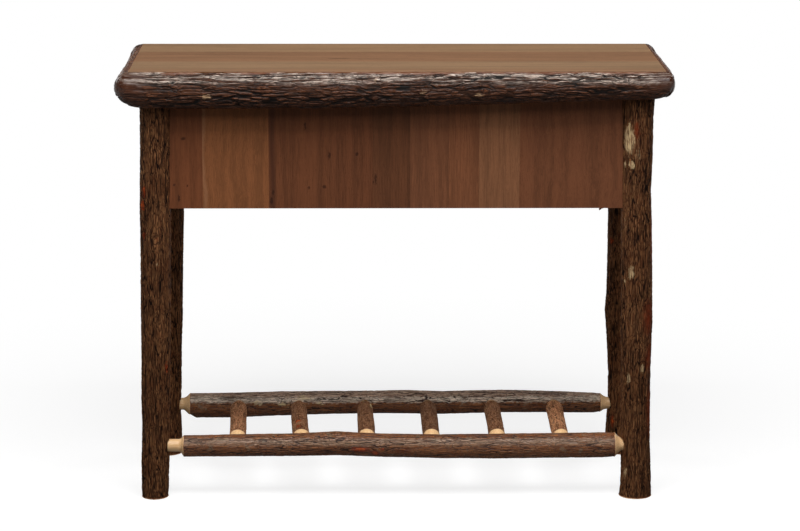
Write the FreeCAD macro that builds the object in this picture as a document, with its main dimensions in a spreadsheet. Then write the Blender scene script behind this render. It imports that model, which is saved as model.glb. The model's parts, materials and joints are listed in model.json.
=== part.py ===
import FreeCAD, Part
import Sketcher
import os

# A rustic table in millimetres. The origin is on the floor under the middle of the top,
# +X to the right, +Y to the back, +Z up. The front is the side that faces -Y.
doc = FreeCAD.newDocument("rustic_table")

# Driving dimensions. The boards are the flat walnut field of the top, without the bark edge.
DRIVING_SIZES = {
    "boards_length": 1040,
    "boards_depth": 397,
    "table_height": 865,
    "board_thickness": 28,
    "board_1_width": 41.5,
    "board_2_width": 98.5,
    "board_3_width": 135.5,
    "front_edge_reach": 30,
    "back_edge_reach": 30,
    "left_edge_reach": 29,
    "right_edge_reach": 25,
    "edge_log_height": 68,
    "corner_round": 30,
    "leg_diameter": 60,
    "leg_inset_x": 49.5,
    "leg_inset_y": 40.3,
    "leg_splay": 10,
    "knot_diameter": 14,
    "knot_reach": 43,
    "knot_height": 523,
    "apron_height": 247,
    "apron_thickness": 19,
    "apron_groove_floor": 18,
    "tongue_length": 5,
    "tongue_thickness": 6,
    "glue_gap": 0.1,
    "rack_height": 105.5,
    "stretcher_diameter": 48,
    "stretcher_tenon_diameter": 25.4,
    "tenon_flare": 14,
    "tenon_stop": 4,
    "mortise_end_room": 1,
    "setback_front_left": 53.7,
    "setback_front_right": 42.6,
    "setback_back_left": 48.8,
    "setback_back_right": 44.4,
    "rung_diameter": 36,
    "rung_tenon_diameter": 23,
    "rung_front_setback": 53,
    "rung_back_setback": 46,
    "rung_neck": 3,
    "cleat_size": 22,
    "cleat_end_gap": 12,
    "screw_shank_diameter": 4,
    "screw_head_diameter": 8,
    "screw_head_depth": 3,
    "screw_bite": 14,
    "dowel_diameter": 6,
    "dowel_in_board": 20,
    "dowel_in_edge": 8,
}

sheet = doc.addObject("Spreadsheet::Sheet", "sizes")
for row, (alias, number) in enumerate(DRIVING_SIZES.items(), start=1):
    sheet.set(f"A{row}", alias)
    sheet.set(f"B{row}", str(number))
    sheet.setAlias(f"B{row}", alias)
doc.recompute()

# Places that several pieces share, each worked out from the driving dimensions.
HALF_LENGTH = "(sizes.boards_length / 2)"
HALF_DEPTH = "(sizes.boards_depth / 2)"
LEG_HEIGHT = "(sizes.table_height - sizes.board_thickness)"
HEAD_X = f"({HALF_LENGTH} - sizes.leg_inset_x)"
ROW_Y = f"({HALF_DEPTH} - sizes.leg_inset_y)"
RACK_X = f"({HEAD_X} + sizes.leg_splay * (1 - sizes.rack_height / {LEG_HEIGHT}))"
APRON_FOOT = f"({LEG_HEIGHT} - sizes.apron_height)"
CLEAT_FOOT = f"({LEG_HEIGHT} - sizes.cleat_size)"

# Directions of a piece's own x, y and z in the table: a log runs along its own z.
AHEAD = FreeCAD.Vector(1, 0, 0)
BACK = FreeCAD.Vector(0, 1, 0)
UP = FreeCAD.Vector(0, 0, 1)
UPRIGHT = FreeCAD.Rotation()
ALONG_X = FreeCAD.Rotation(BACK, UP, AHEAD, "ZYX")
ALONG_Y = FreeCAD.Rotation(UP, AHEAD, BACK, "ZYX")
AGAINST_X = FreeCAD.Rotation(BACK, -UP, -AHEAD, "ZYX")
AGAINST_Y = FreeCAD.Rotation(UP, -AHEAD, -BACK, "ZYX")

# The same for the bark edges: x into the boards, y up, z along, round the top against the clock.
FRONT_SIDE = FreeCAD.Rotation(BACK, UP, AHEAD, "ZYX")
RIGHT_SIDE = FreeCAD.Rotation(-AHEAD, UP, BACK, "ZYX")
BACK_SIDE = FreeCAD.Rotation(-BACK, UP, -AHEAD, "ZYX")
LEFT_SIDE = FreeCAD.Rotation(AHEAD, UP, -BACK, "ZYX")

nodes = []


def worth(expression):
    """The number that an expression of the sheet's sizes gives now."""
    return float(sheet.evalExpression(expression))


def place(piece, spot, rotation=UPRIGHT):
    """Stand a piece at a spot given as three expressions."""
    piece.Placement = FreeCAD.Placement(FreeCAD.Vector(), rotation)
    for axis, expression in zip("xyz", spot):
        piece.setExpression(f"Placement.Base.{axis}", expression)
    return piece


def keep(piece, label):
    """Name a finished sub-part: its label is the name of its file."""
    piece.Label = label
    nodes.append(piece)
    return piece


def cut_from(base, tools, name):
    """A piece with its grooves, mortises or screw holes taken out."""
    cutter = tools[0]
    if len(tools) > 1:
        cutter = doc.addObject("Part::Compound", f"{name}_cutters")
        cutter.Links = tools
    piece = doc.addObject("Part::Cut", f"{name}_cut")
    piece.Base = base
    piece.Tool = cutter
    return piece


def box(name, sizes, corner):
    """A square block from its low corner."""
    block = doc.addObject("Part::Box", name)
    for side, expression in zip(("Length", "Width", "Height"), sizes):
        block.setExpression(side, expression)
    return place(block, corner)


def rod(name, diameter, length, start, rotation):
    """A round bar or bore that starts at a spot and runs along its rotation's z."""
    bar = doc.addObject("Part::Cylinder", name)
    bar.setExpression("Radius", f"({diameter}) / 2")
    bar.setExpression("Height", length)
    return place(bar, start, rotation)


def plane(body, role):
    """One of a body's own origin planes."""
    return next(face for face in body.Origin.OriginFeatures if face.Role == role)


def sketch_on(body, role, name, offset=("0", "0", "0")):
    """An empty sketch on one of the body's own planes, moved by an offset."""
    sketch = body.newObject("Sketcher::SketchObject", name)
    sketch.AttachmentSupport = (plane(body, role), [""])
    sketch.MapMode = "FlatFace"
    for axis, expression in zip("xyz", offset):
        sketch.setExpression(f"AttachmentOffset.Base.{axis}", expression)
    return sketch


def hold(sketch, constraint, expression):
    """Add a constraint and tie its value to the sheet."""
    index = sketch.addConstraint(constraint)
    sketch.setExpression(f"Constraints[{index}]", expression)


def polygon(sketch, corners):
    """A closed outline with each corner at its own pair of expressions."""
    spots = [FreeCAD.Vector(worth(across), worth(along), 0) for across, along in corners]
    count = len(spots)
    for edge in range(count):
        line = Part.LineSegment(spots[edge], spots[(edge + 1) % count])
        sketch.addGeometry(line, False)
    for edge in range(count):
        sketch.addConstraint(Sketcher.Constraint("Coincident", edge, 2, (edge + 1) % count, 1))
    for edge, (across, along) in enumerate(corners):
        spot = spots[edge]
        hold(sketch, Sketcher.Constraint("DistanceX", -1, 1, edge, 1, spot.x), across)
        hold(sketch, Sketcher.Constraint("DistanceY", -1, 1, edge, 1, spot.y), along)


def circle(sketch, diameter):
    """A circle about the sketch's own origin."""
    sketch.addGeometry(Part.Circle(FreeCAD.Vector(), UP, 1), False)
    sketch.addConstraint(Sketcher.Constraint("Coincident", 0, 3, -1, 1))
    radius = Sketcher.Constraint("Radius", 0, worth(diameter) / 2)
    hold(sketch, radius, f"({diameter}) / 2")


def loft(body, name, rings):
    """A solid skinned over a row of section sketches, straight from each to the next."""
    solid = body.newObject("PartDesign::AdditiveLoft", name)
    solid.Profile = rings[0]
    solid.Sections = rings[1:]
    solid.Ruled = True
    body.Tip = solid
    return solid


def log(body, name, stations):
    """A length of pole through circles. A station is (across, over, along, diameter)."""
    rings = []
    for number, (across, over, along, diameter) in enumerate(stations):
        ring = sketch_on(body, "XY_Plane", f"{name}_ring_{number}", (across, over, along))
        circle(ring, diameter)
        rings.append(ring)
    return loft(body, name, rings)


def tongued_outline(start, end, thickness, groove, tongue):
    """Section of a board with a tongue on its far edge and a groove in its near edge."""
    face = f"({thickness}) / 2"
    cheek = "sizes.tongue_thickness / 2"
    wall = f"({cheek} + sizes.glue_gap)"
    floor = f"({start} + sizes.tongue_length + sizes.glue_gap)"
    tip = f"({end} + sizes.tongue_length)"
    outline = [(start, f"-{face}"), (end, f"-{face}")]
    if tongue:
        outline += [(end, f"-{cheek}"), (tip, f"-{cheek}"), (tip, cheek), (end, cheek)]
    outline += [(end, face), (start, face)]
    if groove:
        outline += [(start, wall), (floor, wall), (floor, f"-{wall}"), (start, f"-{wall}")]
    return outline


# Screws: flat-head wood screws, drawn with the head at the origin and the point up.
def turned(name, outline):
    """A round piece from its half outline, spun about its own z."""
    body = doc.addObject("PartDesign::Body", name)
    sketch = sketch_on(body, "XZ_Plane", f"{name}_outline")
    polygon(sketch, outline)
    spin = body.newObject("PartDesign::Revolution", f"{name}_spin")
    spin.Profile = sketch
    spin.ReferenceAxis = (sketch, ["V_Axis"])
    spin.Angle = 360
    body.Tip = spin
    return body


def screw_outline(room):
    """Half outline of a screw, or of its hole where room is the clearance."""
    head = f"(sizes.screw_head_diameter / 2 + {room})"
    shank = f"(sizes.screw_shank_diameter / 2 + {room})"
    neck = "sizes.screw_head_depth"
    shoulder = "(sizes.cleat_size + sizes.screw_bite - sizes.screw_shank_diameter)"
    tip = f"(sizes.cleat_size + sizes.screw_bite + {room})"
    return [("0", "0"), (head, "0"), (shank, neck), (shank, shoulder), ("0", tip)]


screw = turned("screw_pattern", screw_outline("0"))
screw_bore = turned("screw_bore_pattern", screw_outline("sizes.glue_gap"))


def copies(pattern, name, places):
    """One compound of a pattern piece repeated at each (spot, rotation)."""
    links = []
    for number, (spot, rotation) in enumerate(places):
        link = doc.addObject("App::Link", f"{name}_{number}")
        link.LinkedObject = pattern
        links.append(place(link, spot, rotation))
    group = doc.addObject("Part::Compound", name)
    group.Links = links
    return group


# Places of the screws. Each cleat has screws out into its apron and up into the top.
APRON_INNER_Y = f"({ROW_Y} - sizes.apron_thickness / 2)"
APRON_INNER_X = f"({HEAD_X} - sizes.apron_thickness / 2)"
LONG_CLEAT_HALF = f"({HEAD_X} - sizes.leg_diameter / 2 - sizes.cleat_end_gap)"
SHORT_CLEAT_HALF = f"({ROW_Y} - sizes.leg_diameter / 2 - sizes.cleat_end_gap)"
CLEAT_MIDDLE_Z = f"({LEG_HEIGHT} - sizes.cleat_size / 2)"
LONG_OUT_SHARES = (-0.9, -0.36, 0.3, 0.9)
LONG_UP_SHARES = (-0.75, 0.0, 0.75)
SHORT_OUT_SHARES = (-0.6, 0.55)
SHORT_UP_SHARES = (-0.85, 0.1, 0.9)


def long_places(side, shares, inner, height):
    """Spots along a front or back cleat, at a distance from the middle of the table."""
    return [(f"{LONG_CLEAT_HALF} * ({share})", f"{inner} * ({side})", height) for share in shares]


def short_places(side, shares, inner, height):
    """Spots along a left or right cleat, at a distance from the middle of the table."""
    return [(f"{inner} * ({side})", f"{SHORT_CLEAT_HALF} * ({share})", height) for share in shares]


def out_places():
    """The screws that run level, out of the cleats into the aprons."""
    near_y = f"({APRON_INNER_Y} - sizes.cleat_size)"
    near_x = f"({APRON_INNER_X} - sizes.cleat_size)"
    places = []
    for side, rotation in ((-1, AGAINST_Y), (1, ALONG_Y)):
        for spot in long_places(side, LONG_OUT_SHARES, near_y, CLEAT_MIDDLE_Z):
            places.append((spot, rotation))
    for side, rotation in ((-1, AGAINST_X), (1, ALONG_X)):
        for spot in short_places(side, SHORT_OUT_SHARES, near_x, CLEAT_MIDDLE_Z):
            places.append((spot, rotation))
    return places


def up_places():
    """The screws that run up, out of the cleats into the boards of the top."""
    middle_y = f"({APRON_INNER_Y} - sizes.cleat_size / 2)"
    middle_x = f"({APRON_INNER_X} - sizes.cleat_size / 2)"
    places = []
    for side in (-1, 1):
        for spot in long_places(side, LONG_UP_SHARES, middle_y, CLEAT_FOOT):
            places.append((spot, UPRIGHT))
        for spot in short_places(side, SHORT_UP_SHARES, middle_x, CLEAT_FOOT):
            places.append((spot, UPRIGHT))
    return places


keep(copies(screw, "screws_out", out_places()), "cleat_screws")
keep(copies(screw, "screws_up", up_places()), "top_screws")
bores_out = copies(screw_bore, "bores_out", out_places())
bores_up = copies(screw_bore, "bores_up", up_places())

# Dowels between the boards of the top and the bark edges.
DOWEL_Z = "(sizes.table_height - sizes.board_thickness / 2)"
LONG_DOWEL_SHARES = (-0.88, -0.38, 0.04, 0.4, 0.88)
SHORT_DOWEL_SHARES = (-0.36, 0.25, 0.75)


def dowel_places(start):
    """Where each dowel starts inside the boards, at a depth from the board's edge."""
    places = []
    for side, rotation in ((-1, AGAINST_Y), (1, ALONG_Y)):
        for share in LONG_DOWEL_SHARES:
            spot = (f"{HALF_LENGTH} * ({share})", f"({HALF_DEPTH} - {start}) * ({side})", DOWEL_Z)
            places.append((spot, rotation))
    for side, rotation in ((-1, AGAINST_X), (1, ALONG_X)):
        for share in SHORT_DOWEL_SHARES:
            spot = (f"({HALF_LENGTH} - {start}) * ({side})", f"{HALF_DEPTH} * ({share})", DOWEL_Z)
            places.append((spot, rotation))
    return places


DOWEL_LENGTH = "(sizes.dowel_in_board + sizes.dowel_in_edge)"
dowel = rod("dowel_pattern", "sizes.dowel_diameter", DOWEL_LENGTH, ("0", "0", "0"), UPRIGHT)
dowel_bore = rod(
    "dowel_bore_pattern",
    "(sizes.dowel_diameter + 2 * sizes.glue_gap)",
    f"({DOWEL_LENGTH} + 2 * sizes.glue_gap)",
    ("0", "0", "0"),
    UPRIGHT,
)
keep(copies(dowel, "dowels", dowel_places("sizes.dowel_in_board")), "edge_dowels")
dowel_bores = copies(
    dowel_bore, "dowel_bores", dowel_places("(sizes.dowel_in_board + sizes.glue_gap)")
)


# Top: four boards from the front edge to the back edge, tongued into each other.
def top_board(number, start, end, count):
    """A board with its section in the YZ plane and its grain along X."""
    name = f"top_board_{number}"
    body = doc.addObject("PartDesign::Body", f"{name}_blank")
    sketch = sketch_on(body, "YZ_Plane", f"{name}_section")
    outline = tongued_outline(start, end, "sizes.board_thickness", number > 1, number < count)
    polygon(sketch, outline)
    pad = body.newObject("PartDesign::Pad", f"{name}_pad")
    pad.Profile = sketch
    pad.SideType = "Symmetric"
    pad.setExpression("Length", "sizes.boards_length")
    body.Tip = pad
    place(body, ("0", "0", DOWEL_Z))
    keep(cut_from(body, [bores_up, dowel_bores], name), name)


seam_1 = f"(sizes.board_1_width - {HALF_DEPTH})"
seam_2 = f"({seam_1} + sizes.board_2_width)"
seam_3 = f"({seam_2} + sizes.board_3_width)"
board_seams = [f"-{HALF_DEPTH}", seam_1, seam_2, seam_3, HALF_DEPTH]
for number in range(1, len(board_seams)):
    top_board(number, board_seams[number - 1], board_seams[number], len(board_seams) - 1)

# Bark edge: half logs with the flat side against the boards. Each row of shares is the place
# from the middle to the mitre, the reach and the height. The near end comes first.
FRONT_EDGE_SHARES = (
    (-1, 0.99, 0.94), (-0.75, 0.97, 0.99), (-0.45, 0.99, 1.0), (-0.1, 0.96, 0.98),
    (0.3, 0.98, 0.91), (0.5, 0.95, 0.86), (0.75, 0.91, 0.81), (1, 0.86, 0.76),
)
RIGHT_EDGE_SHARES = (
    (-1, 0.99, 0.76), (-0.5, 0.98, 0.8), (0.1, 0.99, 0.84), (0.5, 0.94, 0.86), (1, 0.99, 0.84),
)
BACK_EDGE_SHARES = (
    (-1, 0.95, 0.84), (-0.62, 0.96, 0.88), (-0.18, 0.98, 0.94), (0.31, 0.96, 0.96),
    (0.68, 0.99, 0.92), (1, 0.99, 0.88),
)
LEFT_EDGE_SHARES = (
    (-1, 0.99, 0.88), (-0.5, 0.9, 0.86), (0.0, 0.86, 0.88), (0.5, 0.99, 0.92), (1, 0.99, 0.94),
)
MITRE_OVER_SHARE = 1.5
UPRIGHT_SHARE = 0.5


def round_log(label, half, reach, ends, shares):
    """The whole log, run past both mitres. The flat side is sawn on the line x = 0."""
    body = doc.addObject("PartDesign::Body", f"{label}_log")
    stations = []
    for along_share, reach_share, height_share in shares:
        meets = ends[0] if along_share < 0 else ends[1]
        deep = f"({reach} * {reach_share})"
        tall = f"(sizes.edge_log_height * {height_share})"
        radius = f"(({tall} * {tall} / 4 + {deep} * {deep}) / (2 * {deep}))"
        stations.append((
            f"{radius} - {deep}",
            f"-{tall} / 2",
            f"({half} + {meets} * {MITRE_OVER_SHARE}) * ({along_share})",
            f"2 * {radius}",
        ))
    log(body, f"{label}_bark", stations)
    return body


def mitred_space(label, half, reach, ends):
    """The space outside the boards between the two mitre lines of one side."""
    body = doc.addObject("PartDesign::Body", f"{label}_space")
    out = f"-({reach}) * {MITRE_OVER_SHARE}"
    near = f"-({half} + {ends[0]} * {MITRE_OVER_SHARE})"
    far = f"({half} + {ends[1]} * {MITRE_OVER_SHARE})"
    sketch = sketch_on(body, "XZ_Plane", f"{label}_plan")
    polygon(sketch, [("0", f"-{half}"), ("0", half), (out, far), (out, near)])
    pad = body.newObject("PartDesign::Pad", f"{label}_space_pad")
    pad.Profile = sketch
    pad.SideType = "Symmetric"
    pad.setExpression("Length", "4 * sizes.edge_log_height")
    body.Tip = pad
    return body


def edge_log(label, half, reach, ends, shares, spot, rotation):
    """A mitred half log. ends are the reaches of the half logs that it meets."""
    whole = place(round_log(label, half, reach, ends, shares), spot, rotation)
    space = place(mitred_space(label, half, reach, ends), spot, rotation)
    half_log = doc.addObject("Part::MultiCommon", f"{label}_half_log")
    half_log.Shapes = [whole, space, top_rounded]
    keep(cut_from(half_log, [dowel_bores], label), label)


# The corners of the top are sanded to one round in plan.
top_outline = box(
    "top_outline_block",
    (
        "(sizes.boards_length + sizes.left_edge_reach + sizes.right_edge_reach)",
        "(sizes.boards_depth + sizes.front_edge_reach + sizes.back_edge_reach)",
        "(sizes.table_height + sizes.edge_log_height)",
    ),
    (
        f"-{HALF_LENGTH} - sizes.left_edge_reach",
        f"-{HALF_DEPTH} - sizes.front_edge_reach",
        "0",
    ),
)
top_rounded = doc.addObject("Part::Fillet", "top_outline")
top_rounded.Base = top_outline
doc.recompute()
upright_edges = []
for number, edge in enumerate(top_outline.Shape.Edges, start=1):
    if abs(edge.tangentAt(edge.FirstParameter).z) > UPRIGHT_SHARE:
        upright_edges.append((number, worth("sizes.corner_round"), worth("sizes.corner_round")))
top_rounded.Edges = upright_edges

FRONT = "sizes.front_edge_reach"
RIGHT = "sizes.right_edge_reach"
REAR = "sizes.back_edge_reach"
LEFT = "sizes.left_edge_reach"
edge_log(
    "top_edge_front", HALF_LENGTH, FRONT, (LEFT, RIGHT), FRONT_EDGE_SHARES,
    ("0", f"-{HALF_DEPTH}", "sizes.table_height"), FRONT_SIDE,
)
edge_log(
    "top_edge_right", HALF_DEPTH, RIGHT, (FRONT, REAR), RIGHT_EDGE_SHARES,
    (HALF_LENGTH, "0", "sizes.table_height"), RIGHT_SIDE,
)
edge_log(
    "top_edge_back", HALF_LENGTH, REAR, (RIGHT, LEFT), BACK_EDGE_SHARES,
    ("0", HALF_DEPTH, "sizes.table_height"), BACK_SIDE,
)
edge_log(
    "top_edge_left", HALF_DEPTH, LEFT, (REAR, FRONT), LEFT_EDGE_SHARES,
    (f"-{HALF_LENGTH}", "0", "sizes.table_height"), LEFT_SIDE,
)

# Legs: bark-on poles. Each row of shares is the height, the lean outwards, the lean to the
# back and the diameter. Leans and diameters are shares of the leg's diameter.
LEG_SHARES = {
    "leg_front_left": (
        (0.0, 0.053, 0.0, 0.87), (0.02, 0.052, 0.0, 0.91), (0.09, 0.048, 0.01, 0.933),
        (0.18, 0.022, 0.02, 0.92), (0.24, 0.035, 0.02, 0.955), (0.36, 0.023, 0.0, 0.94),
        (0.48, 0.027, -0.02, 0.968), (0.6, 0.017, -0.02, 0.978), (0.72, 0.027, 0.0, 0.993),
        (0.84, 0.007, 0.01, 0.99), (1.0, 0.01, 0.0, 1.01),
    ),
    "leg_front_right": (
        (0.0, -0.007, 0.0, 1.05), (0.025, 0.015, 0.0, 1.02), (0.06, 0.013, 0.01, 0.985),
        (0.136, -0.005, 0.02, 0.945), (0.28, -0.017, 0.0, 0.963), (0.36, -0.01, -0.01, 0.982),
        (0.43, 0.005, -0.02, 1.01), (0.58, -0.012, -0.01, 1.005), (0.745, -0.048, 0.01, 0.97),
        (0.84, -0.027, 0.01, 1.015), (0.92, -0.03, 0.0, 1.04), (1.0, 0.005, 0.0, 1.1),
    ),
    "leg_back_left": (
        (0.0, -0.027, 0.0, 0.95), (0.03, -0.025, 0.0, 0.98), (0.105, -0.005, -0.01, 0.95),
        (0.27, -0.027, -0.01, 0.95), (0.36, -0.05, 0.0, 0.97), (0.447, -0.052, 0.01, 0.983),
        (0.62, -0.077, 0.0, 1.017), (0.8, -0.05, -0.01, 1.02), (1.0, -0.02, 0.0, 1.03),
    ),
    "leg_back_right": (
        (0.0, -0.03, 0.0, 0.96), (0.04, -0.035, 0.0, 0.995), (0.14, 0.02, 0.015, 0.94),
        (0.21, 0.023, 0.01, 0.943), (0.29, -0.005, 0.0, 0.967), (0.366, -0.055, -0.005, 1.02),
        (0.43, -0.02, -0.005, 0.99), (0.52, 0.0, -0.01, 0.967), (0.617, 0.01, 0.0, 0.983),
        (0.8, 0.0, 0.01, 1.0), (1.0, 0.0, 0.0, 1.02),
    ),
}


def leg_cutters(label, side, row):
    """Grooves for the two aprons, open at the top, and the mortise for the stretcher."""
    wide = "(sizes.apron_thickness + 2 * sizes.glue_gap)"
    tall = "(sizes.apron_height + sizes.glue_gap)"
    foot = f"({APRON_FOOT} - sizes.glue_gap)"
    floor = "(sizes.apron_groove_floor - sizes.glue_gap)"
    reach = "sizes.leg_diameter"
    near_x = f"{HEAD_X} * ({side}) - ({side}) * {floor} - {reach} * {(1 + side) // 2}"
    near_y = f"{ROW_Y} * ({row}) - ({row}) * {floor} - {reach} * {(1 + row) // 2}"
    long_groove = box(
        f"{label}_long_groove", (reach, wide, tall),
        (near_x, f"{ROW_Y} * ({row}) - {wide} / 2", foot),
    )
    short_groove = box(
        f"{label}_short_groove", (wide, reach, tall),
        (f"{HEAD_X} * ({side}) - {wide} / 2", near_y, foot),
    )
    mortise = rod(
        f"{label}_mortise", "(sizes.stretcher_tenon_diameter + 2 * sizes.glue_gap)", reach,
        (
            f"({RACK_X} - sizes.tenon_stop + sizes.mortise_end_room) * ({side})",
            f"{ROW_Y} * ({row})",
            "sizes.rack_height",
        ),
        AGAINST_X if side > 0 else ALONG_X,
    )
    return [long_groove, short_groove, mortise]


def leg(label, side, row):
    """A pole that leans outwards from the head to the foot by the splay."""
    body = doc.addObject("PartDesign::Body", f"{label}_pole")
    stations = []
    for height_share, out_share, back_share, diameter_share in LEG_SHARES[label]:
        lean = f"sizes.leg_splay * {1 - height_share:.3f} + sizes.leg_diameter * ({out_share})"
        stations.append((
            f"({side}) * ({lean})",
            f"sizes.leg_diameter * ({back_share})",
            f"{LEG_HEIGHT} * {height_share}",
            f"sizes.leg_diameter * {diameter_share}",
        ))
    log(body, f"{label}_bark", stations)
    place(body, (f"{HEAD_X} * ({side})", f"{ROW_Y} * ({row})", "0"))
    return body


for label, side, row in (
    ("leg_front_left", -1, -1),
    ("leg_front_right", 1, -1),
    ("leg_back_left", -1, 1),
):
    keep(cut_from(leg(label, side, row), leg_cutters(label, side, row), label), label)

# The right back leg keeps the stub of a branch, cut short, on its inner side.
stub = rod(
    "leg_back_right_stub", "sizes.knot_diameter", "sizes.knot_reach",
    (HEAD_X, ROW_Y, "sizes.knot_height"), AGAINST_X,
)
with_stub = doc.addObject("Part::Fuse", "leg_back_right_with_stub")
with_stub.Base = leg("leg_back_right", 1, 1)
with_stub.Tool = stub
keep(
    cut_from(with_stub, leg_cutters("leg_back_right", 1, 1), "leg_back_right"), "leg_back_right"
)

# Aprons: upright boards glued edge to edge, let into the grooves of the legs. Seams are
# shares of the apron's whole width, groove floor to groove floor.
FRONT_SEAM_SHARES = (0.0, 0.079, 0.222, 0.356, 0.447, 0.528, 0.612, 0.677, 0.765, 1.0)
BACK_SEAM_SHARES = (0.0, 0.12, 0.25, 0.36, 0.49, 0.6, 0.735, 0.87, 1.0)
LEFT_SEAM_SHARES = (0.0, 0.34, 0.68, 1.0)
RIGHT_SEAM_SHARES = (0.0, 0.3, 0.66, 1.0)


def apron(side_name, centre, seam_shares, spot, rotation):
    """The boards of one apron. centre is the distance from the middle to the leg's axis."""
    half = f"({centre} - sizes.apron_groove_floor)"
    count = len(seam_shares) - 1
    for number in range(1, count + 1):
        name = f"apron_{side_name}_board_{number}"
        start = f"({half} * ({2 * seam_shares[number - 1] - 1:.4f}))"
        end = f"({half} * ({2 * seam_shares[number] - 1:.4f}))"
        body = doc.addObject("PartDesign::Body", f"{name}_blank")
        sketch = sketch_on(body, "XY_Plane", f"{name}_section")
        thickness = "sizes.apron_thickness"
        polygon(sketch, tongued_outline(start, end, thickness, number > 1, number < count))
        pad = body.newObject("PartDesign::Pad", f"{name}_pad")
        pad.Profile = sketch
        pad.setExpression("Length", "sizes.apron_height")
        body.Tip = pad
        place(body, spot, rotation)
        keep(cut_from(body, [bores_out], name), name)


QUARTER_TURN = FreeCAD.Rotation(UP, 90)
apron("front", HEAD_X, FRONT_SEAM_SHARES, ("0", f"-{ROW_Y}", APRON_FOOT), UPRIGHT)
apron("back", HEAD_X, BACK_SEAM_SHARES, ("0", ROW_Y, APRON_FOOT), UPRIGHT)
apron("left", ROW_Y, LEFT_SEAM_SHARES, (f"-{HEAD_X}", "0", APRON_FOOT), QUARTER_TURN)
apron("right", ROW_Y, RIGHT_SEAM_SHARES, (HEAD_X, "0", APRON_FOOT), QUARTER_TURN)


# Cleats: square strips behind the aprons, under the top.
def cleat(label, length, width, corner):
    """A strip with the holes of its screws."""
    strip = box(f"{label}_strip", (length, width, "sizes.cleat_size"), corner)
    keep(cut_from(strip, [bores_out, bores_up], label), label)


LONG_CLEAT = f"({LONG_CLEAT_HALF} * 2)"
SHORT_CLEAT = f"({SHORT_CLEAT_HALF} * 2)"
CLEAT = "sizes.cleat_size"
cleat(
    "top_cleat_front", LONG_CLEAT, CLEAT,
    (f"-{LONG_CLEAT_HALF}", f"-{APRON_INNER_Y}", CLEAT_FOOT),
)
cleat(
    "top_cleat_back", LONG_CLEAT, CLEAT,
    (f"-{LONG_CLEAT_HALF}", f"{APRON_INNER_Y} - {CLEAT}", CLEAT_FOOT),
)
cleat(
    "top_cleat_left", CLEAT, SHORT_CLEAT,
    (f"-{APRON_INNER_X}", f"-{SHORT_CLEAT_HALF}", CLEAT_FOOT),
)
cleat(
    "top_cleat_right", CLEAT, SHORT_CLEAT,
    (f"{APRON_INNER_X} - {CLEAT}", f"-{SHORT_CLEAT_HALF}", CLEAT_FOOT),
)

# Stretchers: poles with round tenons into the legs. Each row of shares is the place from the
# left shoulder to the right one, the shift to the back, the rise and the diameter.
STRETCHER_SHARES = {
    "stretcher_front": (
        (0.0, 0.0, -0.035, 0.89), (0.1, 0.01, -0.02, 0.92), (0.27, 0.02, 0.01, 0.965),
        (0.355, 0.01, 0.065, 1.0), (0.455, -0.01, -0.02, 0.975), (0.595, -0.02, -0.065, 1.0),
        (0.734, -0.01, -0.067, 1.04), (0.874, 0.01, -0.054, 1.04), (0.97, 0.0, -0.03, 1.06),
        (1.0, 0.0, -0.02, 1.0),
    ),
    "stretcher_back": (
        (0.0, 0.0, -0.044, 1.02), (0.1, -0.01, -0.045, 1.06), (0.226, -0.02, 0.015, 1.065),
        (0.34, -0.01, 0.05, 1.02), (0.44, 0.0, 0.063, 1.0), (0.524, 0.01, 0.07, 1.03),
        (0.614, 0.02, 0.025, 1.01), (0.756, 0.01, 0.09, 1.0), (0.9, 0.0, 0.06, 0.94),
        (0.985, 0.0, 0.01, 0.88), (1.0, 0.0, 0.02, 0.8),
    ),
}
FLARE_BARK_SHARE = 0.35
FLARE_SHARES = {"stretcher_front": (0.6, 1.0), "stretcher_back": (1.0, 1.0)}
RUNG_PLACE_SHARES = (
    (-0.669, -0.683), (-0.4, -0.42), (-0.125, -0.13), (0.149, 0.145), (0.426, 0.426), (0.696, 0.7),
)


def flare(body, name, bark_end, direction, length):
    """The peeled shoulder between the bark and the tenon."""
    across, over, along, diameter = bark_end
    tenon = "sizes.stretcher_tenon_diameter"
    middle = f"({diameter}) * {FLARE_BARK_SHARE} + {tenon} * {1 - FLARE_BARK_SHARE}"
    log(body, name, [
        (across, over, along, diameter),
        (f"({across}) / 2", f"({over}) / 2", f"{along} + ({direction}) * {length} / 2", middle),
        ("0", "0", f"{along} + ({direction}) * {length}", tenon),
    ])


def stretcher(label, row, setbacks):
    """A pole between two legs, with its rung mortises on the side of the rack."""
    body = doc.addObject("PartDesign::Body", f"{label}_pole")
    left, right = setbacks
    span = f"(2 * {RACK_X} - {left} - {right})"
    size = "sizes.stretcher_diameter"
    stations = []
    for along_share, back_share, rise_share, diameter_share in STRETCHER_SHARES[label]:
        stations.append((
            f"{size} * ({back_share})",
            f"{size} * ({rise_share})",
            f"{span} * {along_share}",
            f"{size} * {diameter_share}",
        ))
    log(body, f"{label}_bark", stations)
    near_share, far_share = FLARE_SHARES[label]
    near_flare = f"sizes.tenon_flare * {near_share}"
    far_flare = f"sizes.tenon_flare * {far_share}"
    flare(body, f"{label}_flare_left", stations[0], -1, near_flare)
    flare(body, f"{label}_flare_right", stations[-1], 1, far_flare)
    tenon = "sizes.stretcher_tenon_diameter"
    log(body, f"{label}_tenon_left", [
        ("0", "0", f"-{near_flare}", tenon),
        ("0", "0", f"sizes.tenon_stop - {left}", tenon),
    ])
    log(body, f"{label}_tenon_right", [
        ("0", "0", f"{span} + {far_flare}", tenon),
        ("0", "0", f"{span} + {right} - sizes.tenon_stop", tenon),
    ])
    place(body, (f"{left} - {RACK_X}", f"{ROW_Y} * ({row})", "sizes.rack_height"), ALONG_X)
    keep(cut_from(body, rung_mortises(label, row), label), label)


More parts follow.
